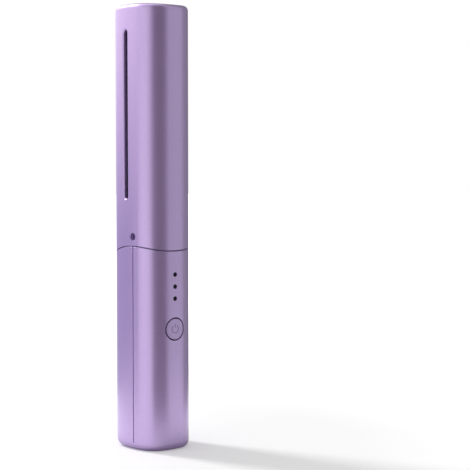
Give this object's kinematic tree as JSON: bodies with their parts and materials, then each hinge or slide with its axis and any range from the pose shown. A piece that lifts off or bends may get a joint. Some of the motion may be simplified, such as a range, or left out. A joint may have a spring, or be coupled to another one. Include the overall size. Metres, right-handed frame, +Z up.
{
  "type": "cordless hot comb",
  "caption": "Cordless heated hair comb with a wedge-shaped slotted comb head, a round power button, indicator lenses, an oval handle and a full-length pull-off cap with vent slots.",
  "frame": {"origin": "centre of the body section, on the flat standing strip of the base", "axes": "+Z up the handle towards the comb head, -Y out of the power button, +Y the way the teeth point, X across the thin way"},
  "size_m": [0.0286, 0.0336, 0.2],
  "materials": {
    "lavender_shell": "satin pearl coat",
    "lavender_button": "satin pearl coat",
    "black_core": "glossy black ceramic coat",
    "clear_lens": "clear diffusing",
    "led_white": "moulded",
    "zinc_steel": "zinc plated",
    "black_steel": "black oxide",
    "heater_ceramic": "sintered ceramic",
    "polyimide": "amber film",
    "clamp_aluminium": "stamped",
    "bush_white": "heat-proof moulding",
    "sensor_glass": "glass bead",
    "fuse_body": "drawn can",
    "board_green": "solder mask",
    "chip_black": "epoxy",
    "inductor_grey": "pressed ferrite",
    "switch_black": "moulded",
    "plunger_white": "moulded",
    "port_steel": "drawn shell",
    "cell_wrap": "shrink sleeve over a metal can",
    "cradle_grey": "moulded",
    "nickel_tab": "nickel strip",
    "bumper_black": "moulded silicone",
    "carrier_black": "moulded",
    "wire_white": "silicone sleeve",
    "wire_sensor": "enamelled",
    "wire_battery": "silicone sleeve"
  },
  "bodies": {
    "handle": {"button_side_shell": "lavender_shell", "teeth_side_shell": "lavender_shell", "heater_core": "black_core", "core_bushes": "bush_white", "core_screws": "black_steel", "ptc_heater": "heater_ceramic", "heater_insulator": "polyimide", "heater_clamp": "clamp_aluminium", "clamp_screws": "zinc_steel", "thermistor": "sensor_glass", "thermal_fuse": "fuse_body", "circuit_board": "board_green", "control_chip": "chip_black", "power_transistors": "chip_black", "charge_inductor": "inductor_grey", "indicator_leds": "led_white", "indicator_lens_top": "clear_lens", "indicator_lens_middle": "clear_lens", "indicator_lens_bottom": "clear_lens", "switch_body": "switch_black", "usb_c_port": "port_steel", "board_screws": "zinc_steel", "battery_cell": "cell_wrap", "battery_cradle": "cradle_grey", "battery_tabs": "nickel_tab", "battery_bumper": "bumper_black", "heater_leads": "wire_white", "sensor_leads": "wire_sensor", "battery_leads": "wire_battery"},
    "cap": {"cap_shell": "lavender_shell"},
    "button": {"power_button": "lavender_button", "button_carrier": "carrier_black", "switch_plunger": "plunger_white"}
  },
  "joints": [
    {"name": "cap_pull", "type": "slide", "parent": "handle", "child": "cap", "axis": [0, 0, 1], "range_m": [0, 0.118]},
    {"name": "button_press", "type": "slide", "parent": "handle", "child": "button", "axis": [0, 1, 0], "range_m": [0, 0.0005], "stiffness_N_per_m": 3000}
  ]
}
